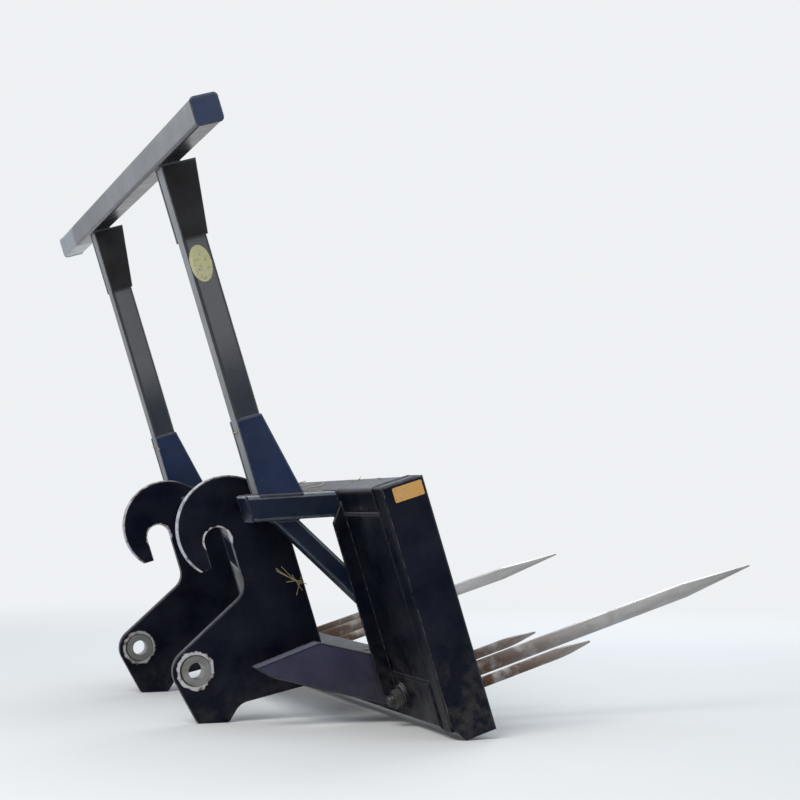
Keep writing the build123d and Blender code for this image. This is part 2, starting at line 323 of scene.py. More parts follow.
# The dust colours also colour the painted highlights along upper edges and the painted sheen on
# faces that look back
GREY_DUST_AND_SHEEN = (0.28, 0.29, 0.31)
PALE_DUST_AND_SHEEN = (0.42, 0.46, 0.50)
LILAC_DUST_AND_SHEEN = (0.13, 0.13, 0.185)
MUD = (0.092, 0.080, 0.070)
# Bare steel of rubs and chips, also standing for painted highlights on edges and on the hooks' rims
RUBBED_STEEL_AND_GLINT = (0.56, 0.55, 0.55)
CHIPPED_STEEL_AND_GLINT = (0.30, 0.30, 0.31)
BLACK_RUST = (0.070, 0.038, 0.024)
DARK_RUST = (0.13, 0.055, 0.028)
LIGHT_RUST = (0.155, 0.078, 0.042)
SCUFF = (0.035, 0.033, 0.035)
PALE_VINYL = (0.44, 0.42, 0.21)
AMBER_VINYL = (0.60, 0.30, 0.04)
FRESH_STRAW = (0.50, 0.40, 0.22)
OLD_STRAW = (0.28, 0.22, 0.13)
NEUTRAL = (1, 1, 1)
BLUE_SHEEN = (0.60, 0.70, 1.0)
EDGE_ROUNDING = 0.0025

# Bands in the upright frame, in metres: where a mask is 0 and where it is 1, along an axis or, for
# the hook's rim, away from its centre
ABOVE_POST_FOOT = (1.12, 1.32)
FAR_BAR_END = (0.86, 0.96)
NEAR_GROUND = (0.34, -0.05)
HOOK_REAR = (-0.02, -0.10)
ABOVE_HOOK_LIP = (0.59, 0.60)
RIM_INSIDE = (0.159, 0.1625)
RIM_OUTSIDE = (0.174, 0.172)
SPEAR_ROOT = (0.95, 0.40)
SPEAR_BACK_HALF = (1.35, 0.70)

# Where the coupler rubs: centre (x, z) in millimetres, then reach and fade in metres
COUPLER_RUBS = ((SEAT_CENTRE, SEAT_RADIUS * MM, 0.012), (PIN_CENTRE, 0.050, 0.022))


def paint_tone_and_shade(nodes, seed, colour, uneven, lower_post_reflection, corner_shade):
    """The colour of the paint, a little uneven, with painted reflection darker and bluer low on the
    posts and painted shade on rounded corners and undersides, where asked.
    """
    paler = [uneven * c + 0.0012 for c in colour]
    paint = nodes.mix(nodes.noise(seed, 3.0, 0.35, 0.7), colour, paler)
    # Painted reflection: low on the posts the paint turns darker and bluer
    if lower_post_reflection:
        paint = nodes.mix(nodes.along("Z", *ABOVE_POST_FOOT), lower_post_reflection, paint)
    if corner_shade:
        # Painted shade: rounded corners and undersides take a near-black colour, darker than the
        # painted sheen on the flats
        paint = nodes.mix(nodes.flats(), corner_shade, paint)
        paint = nodes.mix(nodes.faces("Z"), paint, corner_shade)
    return paint


def dust_and_sheen_cover(nodes, seed, dust, top_dust, edge_highlight, rear_sheen):
    """How thick the dust lies, with painted light in it: a film all over, more on tops, specks and
    runs, a painted highlight along upper edges, and where asked a painted sheen on faces that look
    back.
    """
    film = nodes.noise(seed + 3, 9.0, 0.36, 0.84, detail=9.0)
    patches = nodes.noise(seed + 5, 26.0, 0.02, 0.62, detail=10.0, roughness=0.7)
    on_top = nodes.product(nodes.tops(), patches, top_dust)
    cover = nodes.math("ADD", nodes.product(film, 0.26 * dust), on_top, clamp=True)
    # Painted highlight: a pale line, in patches, just below upper edges
    cover = nodes.math("MAXIMUM", cover, nodes.product(nodes.upper_edges(), patches, edge_highlight))
    # Painted sheen: faces that look back are paler, in patches
    if rear_sheen:
        sheen_patches = nodes.noise(seed + 33, 5.0, -0.20, 0.60)
        cover = nodes.math("MAXIMUM", cover, nodes.product(nodes.faces("X"), sheen_patches, rear_sheen))
    specks = nodes.noise(seed + 7, 240.0, 0.66, 0.74, detail=2.0)
    runs = nodes.noise(seed + 9, 30.0, 0.60, 0.75, detail=5.0, stretch=(1, 1, 0.12))
    specks = nodes.product(specks, 0.30 * dust)
    marks = nodes.math("ADD", specks, nodes.product(runs, 0.16 * dust), clamp=True)
    return nodes.math("MAXIMUM", cover, marks, clamp=True)


def coupler_wear_and_rim_glint(nodes, seed):
    """1 where the coupler rubs the hook plates, round the seats and pins, and a painted highlight
    along the rims of the outer arcs.
    """
    near = []
    for centre, reach, fade in COUPLER_RUBS:
        near.append(nodes.ramp(nodes.distance(centre), reach + fade, reach))
    ragged = nodes.noise(seed + 25, 46.0, 0.28, 0.66, detail=9.0, roughness=0.7)
    worn = nodes.math("MULTIPLY_ADD", ragged, 0.85, nodes.math("MAXIMUM", *near))
    worn = nodes.ramp(worn, 1.02, 1.22)
    # Painted highlight: a bright band, in patches, along the rim of each outer arc
    from_centre = nodes.distance(RIM_CENTRE)
    rim_glint = nodes.product(
        nodes.ramp(from_centre, *RIM_INSIDE), nodes.ramp(from_centre, *RIM_OUTSIDE),
        nodes.along("X", *HOOK_REAR), nodes.along("Z", *ABOVE_HOOK_LIP),
        nodes.noise(seed + 27, 24.0, 0.30, 0.46, detail=8.0),
    )
    return nodes.math("MAXIMUM", worn, rim_glint)


def painted(
    name, seed, colour, dust_and_sheen_colour=GREY_DUST_AND_SHEEN, gloss=0.24, specular=0.2, tint=NEUTRAL, uneven=1.8,
    dust=0.22, top_dust=0.5, edge_highlight=0.3, rear_sheen=0.0, far_end_paler=0.0, chips_and_glints=0.5,
    corner_shade=None, lower_post_reflection=None, on_coupler=False,
):
    """Black machine paint: orange peel, dust lying on it, dried splashes, scuffed and chipped
    edges; painted highlights along edges and on the hooks' rims, and where asked painted sheen,
    shade and reflection.
    """
    material, nodes, shader = new_material(
        name, IOR=1.5, Specular_IOR_Level=specular, Specular_Tint=rgba(tint)
    )
    surface = paint_tone_and_shade(nodes, seed, colour, uneven, lower_post_reflection, corner_shade)
    dust_and_sheen_mask = dust_and_sheen_cover(nodes, seed, dust, top_dust, edge_highlight, rear_sheen)
    surface = nodes.mix(dust_and_sheen_mask, surface, dust_and_sheen_colour)
    if far_end_paler:
        # The crossbar's far end is paler, in patches
        far_patches = nodes.noise(seed + 21, 20.0, 0.10, 0.50, detail=9.0)
        far_patches = nodes.product(nodes.along("Y", *FAR_BAR_END), far_patches, far_end_paler)
        surface = nodes.mix(far_patches, surface, PALE_DUST_AND_SHEEN)

    # Mud thrown up from the ground, thinning upwards
    blots = nodes.noise(seed + 23, 18.0, 0.44, 0.60, detail=10.0, roughness=0.7)
    mud = nodes.product(nodes.along("Z", *NEAR_GROUND), blots, 0.45)
    surface = nodes.mix(mud, surface, MUD)

    # Chipped edges, their bright steel standing also for painted highlights along edges, and bright
    # steel where the coupler has rubbed, with a painted highlight on the hooks' rims
    broken = nodes.noise(seed + 11, 45.0, 0.46, 0.60, detail=8.0)
    bare = nodes.product(nodes.edges(), broken, chips_and_glints)
    rusty = nodes.noise(seed + 13, 120.0, 0.45, 0.6, detail=4.0)
    surface = nodes.mix(bare, surface, nodes.mix(rusty, CHIPPED_STEEL_AND_GLINT, DARK_RUST))
    if on_coupler:
        rubbed_and_glint = coupler_wear_and_rim_glint(nodes, seed)
        stained = nodes.noise(seed + 29, 34.0, 0.50, 0.66, detail=9.0)
        surface = nodes.mix(rubbed_and_glint, surface, nodes.mix(stained, RUBBED_STEEL_AND_GLINT, LIGHT_RUST))
        bare = nodes.math("MAXIMUM", bare, rubbed_and_glint, clamp=True)

    # Glossy paint, matt where dust, mud and the painted sheen and highlights lie
    smear = nodes.noise(seed + 15, 14.0, 0.3, 0.75, detail=8.0)
    soiled_and_sheen = nodes.math("MAXIMUM", dust_and_sheen_mask, mud)
    clean = nodes.math("MULTIPLY_ADD", smear, 0.10 * uneven, gloss)
    roughness = nodes.math("ADD", clean, nodes.product(soiled_and_sheen, 0.75), clamp=True)

    # Relief: rounded edges, dents, orange peel and the grain of the dust, mud and painted sheen
    dents = nodes.noise(seed + 19, 7.0, 0.2, 0.8, detail=2.0)
    peel = nodes.noise(seed + 17, 320.0, 0.2, 0.8, detail=2.0)
    relief = nodes.bump(dents, 0.35, 0.0012, nodes.rounded(EDGE_ROUNDING))
    relief = nodes.bump(peel, 0.12, 0.0004, relief)
    relief = nodes.bump(soiled_and_sheen, 0.3, 0.0008, relief)
    finish_shader(nodes, shader, surface, roughness, nodes.product(bare, 0.7), relief)
    return material


def bare_steel(name, seed, colour, rough, rust, tips=False):
    """Bare steel: forged or turned, polished where it works, rusty where it rests."""
    material, nodes, shader = new_material(name)
    tone = nodes.noise(seed, 22.0, 0.3, 0.7, detail=8.0, stretch=(0.18, 1, 1))
    steel = nodes.mix(tone, [0.62 * c for c in colour], colour)
    rusty = nodes.noise(seed + 2, 11.0, 0.62 - 0.25 * rust, 0.78 - 0.15 * rust, detail=12.0)
    rusty = nodes.product(rusty, 0.85 * (rust + 0.3))
    if tips:
        # The bales keep the points bright; the root behind them stays brown
        patchy = nodes.noise(seed + 8, 16.0, 0.28, 0.50, detail=10.0)
        at_root = nodes.product(nodes.along("X", *SPEAR_ROOT), patchy)
        kept = nodes.math("MULTIPLY_ADD", nodes.along("X", *SPEAR_BACK_HALF), 0.8, 0.2)
        rusty = nodes.product(nodes.math("MAXIMUM", rusty, at_root), kept)
    spots = nodes.noise(seed + 4, 150.0, 0.35, 0.65, detail=5.0)
    surface = nodes.mix(rusty, steel, nodes.mix(spots, BLACK_RUST, LIGHT_RUST))
    scratches = nodes.noise(seed + 6, 60.0, 0.3, 0.7, detail=6.0, stretch=(0.04, 1, 1))
    clean = nodes.math("MULTIPLY_ADD", scratches, 0.2, rough)
    roughness = nodes.math("ADD", clean, nodes.product(rusty, 0.5), clamp=True)
    metallic = nodes.math("MULTIPLY_ADD", rusty, -0.85, 0.95)
    grain = nodes.math("ADD", scratches, rusty)
    relief = nodes.bump(grain, 0.25, 0.0004, nodes.rounded(0.001, samples=4))
    finish_shader(nodes, shader, surface, roughness, metallic, relief)
    return material


def sticker(name, seed, colour):
    """Plain weathered vinyl, scuffed and dusty, with nothing printed on it."""
    material, nodes, shader = new_material(name)
    faded = nodes.noise(seed, 30.0, 0.3, 0.7, detail=6.0)
    scuffs = nodes.noise(seed + 2, 90.0, 0.56, 0.66, detail=9.0, roughness=0.7)
    vinyl = nodes.mix(faded, colour, [0.75 * c + 0.10 for c in colour])
    surface = nodes.mix(nodes.product(scuffs, 0.75), vinyl, SCUFF)
    roughness = nodes.math("MULTIPLY_ADD", faded, 0.2, 0.42)
    relief = nodes.bump(scuffs, 0.2, 0.0003)
    finish_shader(nodes, shader, surface, roughness, normal=relief)
    return material


def straw():
    """Dry straw, pale gold to grey brown from stalk to stalk."""
    material, nodes, shader = new_material("straw")
    tone = nodes.noise(5.0, 14.0, 0.35, 0.65, detail=3.0)
    surface = nodes.mix(tone, FRESH_STRAW, OLD_STRAW)
    shine = nodes.noise(7.0, 60.0, 0.3, 0.7)
    finish_shader(nodes, shader, surface, nodes.math("MULTIPLY_ADD", shine, 0.25, 0.45))
    return material


# Painted reflection: the blue in these black paints stands for a blue sky mirrored in them,
# strongest on the arms, the bar's caps and the foot plates
materials = {
    "frame_paint": painted(
        "frame_paint", 1.0, (0.0007, 0.0012, 0.0048), specular=0.12, tint=BLUE_SHEEN, dust=0.18,
        top_dust=0.55, edge_highlight=0.35, chips_and_glints=0.8,
    ),
    "arm_paint_and_reflection": painted(
        "arm_paint_and_reflection", 11.0, (0.0030, 0.0060, 0.0150), PALE_DUST_AND_SHEEN, tint=BLUE_SHEEN, dust=0.11,
        top_dust=0.95, edge_highlight=1.0, chips_and_glints=0.8,
    ),
    "hook_paint": painted(
        "hook_paint", 31.0, (0.0007, 0.0010, 0.0046), gloss=0.26, specular=0.12, tint=BLUE_SHEEN,
        dust=0.18, top_dust=0.3, chips_and_glints=0.7, on_coupler=True,
    ),
    # Painted sheen: the rack's grey flats stand for the sky mirrored in its black paint; the dark
    # corner and low post colours are painted shade and painted reflection
    "rack_paint": painted(
        "rack_paint", 21.0, (0.080, 0.081, 0.087), gloss=0.22, specular=0.40, uneven=1.12,
        dust=0.26, top_dust=0.30, rear_sheen=1.0, far_end_paler=0.70,
        corner_shade=(0.006, 0.007, 0.010), lower_post_reflection=(0.004, 0.010, 0.020),
    ),
    "cap_paint_and_reflection": painted(
        "cap_paint_and_reflection", 71.0, (0.020, 0.028, 0.055), specular=0.30, tint=BLUE_SHEEN, dust=0.20
    ),
    "plate_paint": painted(
        "plate_paint", 41.0, (0.0050, 0.0045, 0.0050), gloss=0.30, dust=0.26
    ),
    "foot_paint_and_reflection": painted(
        "foot_paint_and_reflection", 51.0, (0.0060, 0.0120, 0.0340), gloss=0.26, specular=0.24, tint=BLUE_SHEEN
    ),
    "dusty_paint": painted(
        "dusty_paint", 61.0, (0.020, 0.020, 0.042), LILAC_DUST_AND_SHEEN, gloss=0.42, specular=0.25,
        dust=0.9, top_dust=0.6,
    ),
    "spear_steel": bare_steel("spear_steel", 81.0, (0.44, 0.43, 0.42), 0.24, 0.35, tips=True),
    "bushing_steel": bare_steel("bushing_steel", 101.0, (0.27, 0.27, 0.26), 0.34, 0.30),
    "nut_steel": bare_steel("nut_steel", 121.0, (0.13, 0.13, 0.13), 0.42, 0.35),
}

# Some nodes have a material of their own within their slot: the hooks for the coupler's wear and
# rim highlight, the caps, foot plates, arms and braces for their painted reflection
node_paints = {s["node"]: s["material_slot"] for s in frame["record"]["subparts"]}
node_paints["crossbar_caps"] = "cap_paint_and_reflection"
for side in ("left", "right"):
    node_paints["hook_plate_" + side] = "hook_paint"
    node_paints["foot_plates_" + side] = "foot_paint_and_reflection"
    node_paints["top_arm_" + side] = "arm_paint_and_reflection"
    node_paints["brace_" + side] = "arm_paint_and_reflection"
for name, node in frame["nodes"].items():
    node.data.materials.clear()
    node.data.materials.append(materials[node_paints[name]])


# Pieces on the steel


def add_piece(name, bm, slot, material=None, smooth=True):
    """Makes an object of a finished bmesh and fixes it to the set."""
    mesh = bpy.data.meshes.new(name)
    bmesh.ops.recalc_face_normals(bm, faces=bm.faces)
    bm.to_mesh(mesh)
    bm.free()
    for face in mesh.polygons:
        face.use_smooth = smooth
    mesh.materials.append(material or materials[slot])
    piece = bpy.data.objects.new(name, mesh)
    bpy.context.scene.collection.objects.link(piece)
    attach(piece, "root")
    return piece


def skin(bm, rings, closed=False):
    """Faces between each ring of vertices and the next, and back to the first if closed."""
    pairs = list(zip(rings, rings[1:]))
    if closed:
        pairs.append((rings[-1], rings[0]))
    for near, far in pairs:
        for turn in range(len(near)):
            beside = (turn + 1) % len(near)
            bm.faces.new((near[turn], near[beside], far[beside], far[turn]))


def spaced(points, step, closed):
    """Points at equal steps along straight runs."""
    corners = [Vector(p) for p in points]
    if closed:
        corners.append(corners[0])
    runs = [(end - start).length for start, end in zip(corners, corners[1:])]
    count = max(3, round(sum(runs) / step))
    places = []
    for index in range(count if closed else count + 1):
        left = sum(runs) * index / count
        run = 0
        while run < len(runs) - 1 and left > runs[run]:
            left -= runs[run]
            run += 1
        places.append(corners[run].lerp(corners[run + 1], left / runs[run]))
    return places


def tube(bm, places, radii, sides, closed=False, flat=1.0):
    """A tube through points of the upright frame, with a radius at each of them."""
    count = len(places)
    rings = []
    side = None
    for index, place in enumerate(places):
        ahead = places[(index + 1) % count] if closed else places[min(index + 1, count - 1)]
        behind = places[index - 1] if closed or index else places[0]
        run = (ahead - behind).normalized()
        if side is None:
            side = run.orthogonal()
        side = (side - run * side.dot(run)).normalized()
        other = run.cross(side)
        ring = []
        for turn in range(sides):
            angle = tau * turn / sides
            offset = side * cos(angle) + other * (sin(angle) * flat)
            ring.append(bm.verts.new(parked(place + offset * radii[index])))
        rings.append(ring)
    skin(bm, rings, closed)
    if not closed:
        bm.faces.new(rings[0])
        bm.faces.new(rings[-1])


def rounded_loop(centre, first, second, width, height, corner, steps=4):
    """Points around a rounded rectangle that lies in two directions."""
    points = []
    inner_first, inner_second = width / 2 - corner, height / 2 - corner
    for quarter, (along, over) in enumerate(((1, 1), (-1, 1), (-1, -1), (1, -1))):
        for step in range(steps + 1):
            angle = tau * (quarter + step / steps) / 4
            across = along * inner_first + corner * cos(angle)
            above = over * inner_second + corner * sin(angle)
            points.append(Vector(centre) + first * across + second * above)
    return points


def ring_loop(centre, first, second, radius):
    return rounded_loop(centre, first, second, 2 * radius, 2 * radius, radius, steps=10)


def plain_loop(upper, lower, y, half):
    """The rectangle between two (x, z) points, half to each side of y."""
    loop = [(upper[0], y + side, upper[1]) for side in (-half, half)]
    return loop + [(lower[0], y + side, lower[1]) for side in (half, -half)]


# Welds, in millimetres: a bead's step and its radii, how deep it lies in the groove beside a
# rounded corner, how far it stands off a flat face, and where it ends on a post
WELD_STEP = 2.8
WELD_SIDES = 6
HEAVY_WELD = 5
WELD = 4.5
CROSS_WELD = 4.2
LIGHT_WELD = 4
END_SEAM = 3
BOX_SEAM = 2.4
FLUSH_SEAM = 2.2
GROOVE = 2.5
STAND_OFF = 1
POST_INSET = 3
POST_WELD_HALF = 34
PLATE_WELD_HALF = 30
weld_chance = random.Random(11)


def bead(bm, points, radius, closed=False):
    """A weld bead along straight runs, its surface rippled and its open ends tapered."""
    places = spaced(points, WELD_STEP, closed)
    radii = []
    for index in range(len(places)):
        ripple = 1.09 if index % 2 else 0.91
        radii.append(radius * ripple * weld_chance.uniform(0.94, 1.06))
    if not closed:
        radii[0] *= 0.6
        radii[-1] *= 0.6
    tube(bm, places, radii, WELD_SIDES, closed)


def square_seam(bm, y, x, z, slope=0):
    """The weld around a square cross tube where it meets a plate."""
    first = Vector((cos(slope), 0, -sin(slope)))
    second = Vector((sin(slope), 0, cos(slope)))
    loop = rounded_loop((x, y, z), first, second, CROSS_SIZE, CROSS_SIZE, CROSS_CORNER)
    bead(bm, loop, CROSS_WELD, closed=True)


def brace_cut(x, z, slope):
    """Where the brace's two edges meet a line through (x, z) with a slope, as (x, z) pairs."""
    head = Vector((BRACE_HEAD_X, arm_top(BRACE_HEAD_X) - ARM_UPRIGHT_HEIGHT / 2))
    run = (Vector((FACE_BACK, BRACE_FOOT_Z)) - head).normalized()
    line = Vector((cos(slope), -sin(slope)))
    cuts = []
    for half in (-BRACE_HALF, BRACE_HALF):
        start = head + Vector((-run.y, run.x)) * half
        gap = Vector((x, z)) - start
        reach = (gap.x * line.y - gap.y * line.x) / (run.x * line.y - run.y * line.x)
        cuts.append(start + run * reach)
    return cuts


def weld_rack():
    """Welds of the posts' plates, of the posts on the arms and under the crossbar, and its caps."""
    bm = bmesh.new()
    around = POST_HALF + STAND_OFF
    corners = (POST_INSET - POST_HALF, POST_HALF - POST_INSET)
    for sign in (1, -1):
        y = sign * SIDE_Y
        for edge in (-1, 1):
            outer = y + edge * (PLATE_OUTER + 0.5)
            groove = y + edge * (POST_HALF - GROOVE)
            bead(bm, [(x, outer, BAR_BOTTOM) for x in (-POST_HALF, HEAD_PLATE_FRONT)], WELD)
            for x in corners:
                bead(bm, [(x, groove, z) for z in (HEAD_PLATE_LOW, BAR_BOTTOM)], WELD)
            for x in corners:
                bead(bm, [(x, groove, z) for z in (arm_top(x), FOOT_PLATE_TOP)], WELD)
            side = y + edge * POST_HALF
            for z in (HEAD_PLATE_LOW, FOOT_PLATE_TOP):
                bead(bm, [(x, side, z) for x in (-PLATE_WELD_HALF, PLATE_WELD_HALF)], LIGHT_WELD)
            ends = (-POST_HALF, FOOT_PLATE_FRONT - 2)
            bead(bm, [(x, outer, arm_top(x) - 3) for x in ends], HEAVY_WELD)
        for x, z, radius in (
            (-around, BAR_BOTTOM, WELD),
            (HEAD_PLATE_FRONT + 2, BAR_BOTTOM + STAND_OFF, WELD),
            (-around, arm_top(-around), HEAVY_WELD),
            (around, arm_top(around), HEAVY_WELD),
        ):
            bead(bm, [(x, y + half, z) for half in (-POST_WELD_HALF, POST_WELD_HALF)], radius)
        end = (BAR_X, sign * CAP_SEAM, BAR_MIDDLE)
        loop = rounded_loop(end, FORWARD, UP, BAR_SIZE, BAR_SIZE, BAR_CORNER)
        bead(bm, loop, FLUSH_SEAM, closed=True)
    add_piece("rack_welds", bm, "rack_paint")


def weld_arms():
    """Welds of the top arms, the braces and the lower arms."""
    bm = bmesh.new()
    for sign in (1, -1):
        y = sign * SIDE_Y
        for x, radius in ((FACE_BACK, HEAVY_WELD), (ARM_REAR, END_SEAM)):
            end = (x, y, arm_top(x) - ARM_UPRIGHT_HEIGHT / 2)
            loop = rounded_loop(end, ACROSS, UP, 2 * ARM_HALF, ARM_UPRIGHT_HEIGHT, ARM_CORNER)
            bead(bm, loop, radius, closed=True)
        for cuts in (
            brace_cut(0, arm_top(0) - ARM_UPRIGHT_HEIGHT, ARM_SLOPE),
            brace_cut(FACE_BACK, 0, radians(90)),
        ):
            bead(bm, plain_loop(*cuts, y, BRACE_HALF), WELD, closed=True)
        at_face = plain_loop(LOWER_ARM[0], LOWER_ARM[-1], y, LOWER_ARM_HALF)
        bead(bm, at_face, HEAVY_WELD, closed=True)
        for half in (-LOWER_ARM_HALF, LOWER_ARM_HALF):
            bead(bm, [(x, y + half, z) for x, z in LOWER_ARM], BOX_SEAM)
    add_piece("arm_welds", bm, "frame_paint")


def weld_hooks():
    """Welds of the cross tubes on hook plates and arms, and of the pin bushings."""
    bm = bmesh.new()
    upper_z = arm_top(UPPER_CROSS_X) - ARM_UPRIGHT_HEIGHT / 2
    for sign in (1, -1):
        for y in HOOK_FACES + (SIDE_Y - ARM_HALF,):
            square_seam(bm, sign * y, UPPER_CROSS_X, upper_z, ARM_SLOPE)
        for y in HOOK_FACES + (SIDE_Y - LOWER_ARM_HALF,):
            square_seam(bm, sign * y, *LOWER_CROSS)
        for y in HOOK_FACES:
            pin = (PIN_CENTRE[0], sign * y, PIN_CENTRE[1])
            bead(bm, ring_loop(pin, FORWARD, UP, BUSHING_RADIUS), LIGHT_WELD, closed=True)
    add_piece("hook_welds", bm, "frame_paint")


def weld_face():
    """Welds of the rails, uprights, wing plates, end plates, sleeves and stabilisers."""
    bm = bmesh.new()
    for sign in (1, -1):
        for height, middle in ((LOWER_RAIL, LOWER_RAIL / 2), (UPPER_RAIL, UPPER_RAIL_MIDDLE)):
            joint = (FACE_MIDDLE, sign * RAIL_HALF, middle)
            loop = rounded_loop(joint, FORWARD, UP, FACE_DEPTH, height, RAIL_CORNER)
            bead(bm, loop, HEAVY_WELD, closed=True)
        for z in (LOWER_RAIL, UPPER_RAIL_LOW):
            joint = (FACE_MIDDLE, sign * SIDE_Y, z)
            width = 2 * INNER_UPRIGHT_HALF
            loop = rounded_loop(joint, FORWARD, ACROSS, FACE_DEPTH, width, RAIL_CORNER)
            bead(bm, loop, HEAVY_WELD, closed=True)

        # The wing plate's seams: behind, open towards its flange, and in front
        low, high, y_out = LOWER_RAIL - STAND_OFF, UPPER_RAIL_LOW + STAND_OFF, sign * RAIL_HALF
        for x, y_in, radius, closed in (
            (WING_FACES[0], sign * WING_INNER, WELD, False),
            (WING_FACES[1], sign * (SIDE_Y + INNER_UPRIGHT_HALF), LIGHT_WELD, True),
        ):
            loop = [(x, y_in, low), (x, y_out, low), (x, y_out, high), (x, y_in, high)]
            bead(bm, loop, radius, closed)

        # The end plate's seams, in the grooves beside the upright's rounded corners
        y = sign * (UPRIGHT_OUTER - 2)
        for x, start in ((FACE_BACK + GROOVE, 24), (FACE_FRONT - GROOVE, 2)):
            bead(bm, [(x, y, start), (x, y, FACE_HEIGHT - 2)], WELD)
        bead(bm, [(x, y, -STAND_OFF) for x in (FACE_BACK + 12, FACE_FRONT - 12)], HEAVY_WELD)
        y = sign * UPRIGHT_OUTER
        bead(bm, [(x, y, FACE_HEIGHT) for x in (FACE_BACK + 8, FACE_FRONT - 8)], FLUSH_SEAM)
        cap = (FACE_MIDDLE, sign * UPRIGHT_MIDDLE, FACE_HEIGHT)
        bead(bm, rounded_loop(cap, FORWARD, ACROSS, *UPRIGHT_CAP), FLUSH_SEAM, closed=True)

        for x in (FACE_BACK, FACE_FRONT):
            sleeve = (x, sign * SPEAR_Y, SPEAR_Z)
            bead(bm, ring_loop(sleeve, ACROSS, UP, SLEEVE_RADIUS), HEAVY_WELD, closed=True)
        for y in STABILISERS:
            for x, size, radius in (
                (FACE_FRONT, COLLAR_RADIUS, LIGHT_WELD),
                (FACE_FRONT + COLLAR_LENGTH, STABILISER_RADIUS, END_SEAM),
            ):
                pin = (x, sign * y, SPEAR_Z)
                bead(bm, ring_loop(pin, ACROSS, UP, size), radius, closed=True)
    add_piece("face_welds", bm, "frame_paint")


# The thread and the nut on a spear's shank, in millimetres
THREAD_PITCH = 3.0
THREAD_DEPTH = 1.7
THREAD_SIDES = 32
THREAD_STEPS = 6
THREAD_ROOT = SHANK_RADIUS + 0.1
NUT_SIDES = 72
COUNTERSINK = 3


def ring_on_spear(bm, sign, section):
    """A ring of vertices round a spear's axis; the section gives x and a radius for each."""
    ring = []
    for turn, (x, radius) in enumerate(section):
        angle = tau * turn / len(section)
        y = sign * SPEAR_Y + radius * cos(angle)
        ring.append(bm.verts.new(parked((x, y, SPEAR_Z + radius * sin(angle)))))
    return ring


def cut_threads():
    """The thread on the shank ends behind the nuts, with a turned-down start."""
    bm = bmesh.new()
    length = SLEEVE_BACK - NUT_HEIGHT + 1 - SHANK_END
    steps = round(length / THREAD_PITCH * THREAD_STEPS)
    for sign in (1, -1):
        rings = []
        for step in range(steps + 1):
            x = SHANK_END - 0.4 + length * step / steps
            start = THREAD_ROOT + 0.6 * (x - SHANK_END + 0.5)
            section = []
            for turn in range(THREAD_SIDES):
                phase = (x / THREAD_PITCH + turn / THREAD_SIDES) % 1
                crest = THREAD_ROOT + THREAD_DEPTH * (1 - abs(2 * phase - 1))
                section.append((x, min(crest, start)))
            rings.append(ring_on_spear(bm, sign, section))
        skin(bm, rings)
        bm.faces.new(rings[0])
    add_piece("shank_threads", bm, "nut_steel", smooth=False)


def turn_nuts():
    """Hexagon nuts with chamfered corners and a countersunk bore."""
    bm = bmesh.new()
    flat = NUT_CORNER_RADIUS * sqrt(3) / 2
    face = flat * 0.97
    corners = []
    for turn in range(NUT_SIDES):
        from_flat = (tau * turn / NUT_SIDES + tau / 12) % (tau / 6) - tau / 12
        corners.append(flat / cos(from_flat))
    back, front = SLEEVE_BACK - NUT_HEIGHT, SLEEVE_BACK
    sections = [
        [(back + COUNTERSINK, SHANK_RADIUS)] * NUT_SIDES,
        [(back, SHANK_RADIUS + COUNTERSINK)] * NUT_SIDES,
        [(back, face)] * NUT_SIDES,
        [(back + (corner - face) / 2, corner) for corner in corners],
        [(front - (corner - face) / 2, corner) for corner in corners],
        [(front, face)] * NUT_SIDES,
        [(front, SHANK_RADIUS + COUNTERSINK)] * NUT_SIDES,
    ]
    for sign in (1, -1):
        skin(bm, [ring_on_spear(bm, sign, section) for section in sections])
    piece = add_piece("chamfered_nuts", bm, "nut_steel", smooth=False)
    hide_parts("spear_nuts")


# Stickers, in millimetres: middle (x, z), half sizes or size with corner, and height off the steel
OVAL_MIDDLE = (-6, 1527)
OVAL_HALVES = (34, 58)
OVAL_RINGS = 12
OVAL_SIDES = 48
LABEL_MIDDLE = (275, 707)
LABEL_SIZE = (94, 44, 4)
STICKER_LIFT = 0.5


def on_post(bm, share, angle):
    """A vertex of the oval, laid around the rounded corners of the near post's outer side."""
    across = OVAL_MIDDLE[0] + OVAL_HALVES[0] * share * cos(angle)
    z = OVAL_MIDDLE[1] + OVAL_HALVES[1] * share * sin(angle)
    flat = POST_HALF - POST_CORNER
    bend = max(0.0, abs(across) - flat) / POST_CORNER
    x = min(abs(across), flat) + (POST_CORNER + STICKER_LIFT) * sin(bend)
    y = -SIDE_Y - flat - (POST_CORNER + STICKER_LIFT) * cos(bend)
    return bm.verts.new(parked((x if across > 0 else -x, y, z)))


def stick_on_post():
    """The blank oval sticker on the near post."""
    bm = bmesh.new()
    angles = [tau * turn / OVAL_SIDES for turn in range(OVAL_SIDES)]
    middle = on_post(bm, 0, 0)
    rings = []
    for step in range(1, OVAL_RINGS + 1):
        rings.append([on_post(bm, step / OVAL_RINGS, angle) for angle in angles])
    skin(bm, rings)
    for turn, corner in enumerate(rings[0]):
        bm.faces.new((middle, corner, rings[0][turn - 1]))
    add_piece("post_sticker", bm, "plate_paint", sticker("pale_vinyl", 3.0, PALE_VINYL))


def stick_on_end():
    """The blank label at the top of the near end plate."""
    bm = bmesh.new()
    x, z = LABEL_MIDDLE
    loop = rounded_loop((x, -END_FACE - STICKER_LIFT, z), FORWARD, UP, *LABEL_SIZE)
    bm.faces.new([bm.verts.new(parked(place)) for place in loop])
    add_piece("end_label", bm, "plate_paint", sticker("amber_vinyl", 9.0, AMBER_VINYL))


STALK_STEPS = 8
STALK_SIDES = 5
straw_chance = random.Random(29)


